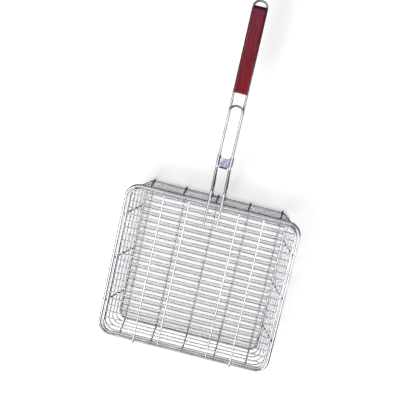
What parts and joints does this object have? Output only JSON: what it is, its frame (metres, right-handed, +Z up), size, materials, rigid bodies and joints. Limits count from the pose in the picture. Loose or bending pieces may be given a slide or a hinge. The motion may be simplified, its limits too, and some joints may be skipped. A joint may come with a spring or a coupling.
{
  "type": "grill basket",
  "caption": "Deep welded wire grill basket with a flat hinged wire lid, long wire handles, a red lacquered wood grip with a hanging loop and a sliding sheet clip.",
  "frame": {"origin": "middle of the whole length and width, on the surface the basket's floor rests on", "axes": "+Y along the handle from the basket to the hanging loop, +Z up from the floor to the lid, +X across"},
  "size_m": [0.325, 0.7038, 0.0888],
  "materials": {
    "chrome_wire": "bright plated round wire with small weld marks",
    "lacquered_wood": "dark red lacquered hardwood, glossy",
    "clip_steel": "bright cold rolled spring sheet",
    "pin_steel": "darkened small brad"
  },
  "bodies": {
    "basket": {"basket_rim": "chrome_wire", "floor_frame": "chrome_wire", "wall_hoop_1": "chrome_wire", "wall_hoop_2": "chrome_wire", "wall_hoop_3": "chrome_wire", "wall_hoop_4": "chrome_wire", "floor_rib_left_outer": "chrome_wire", "floor_rib_left": "chrome_wire", "floor_rib_middle": "chrome_wire", "floor_rib_right": "chrome_wire", "floor_rib_right_outer": "chrome_wire", "side_stay_left_far": "chrome_wire", "side_stay_left_middle": "chrome_wire", "side_stay_left_near": "chrome_wire", "side_stay_right_far": "chrome_wire", "side_stay_right_middle": "chrome_wire", "side_stay_right_near": "chrome_wire", "floor_wires": "chrome_wire", "handle_frame": "chrome_wire", "wood_grip": "lacquered_wood", "grip_pin": "pin_steel"},
    "lid": {"lid_frame": "chrome_wire", "lid_wires": "chrome_wire", "lid_rib_left": "chrome_wire", "lid_rib_right": "chrome_wire", "hinge_rib_left": "chrome_wire", "hinge_rib_right": "chrome_wire", "lid_handle": "chrome_wire"},
    "lock": {"slide_lock": "clip_steel"}
  },
  "joints": [
    {"name": "lid_hinge", "type": "hinge", "parent": "basket", "child": "lid", "pos_m": [0, -0.34592, 0.064], "axis": [1, 0, 0], "range_deg": [0, 110]},
    {"name": "lock_slide", "type": "slide", "parent": "basket", "child": "lock", "axis": [0, 1, 0], "range_m": [0, 0.088]}
  ]
}
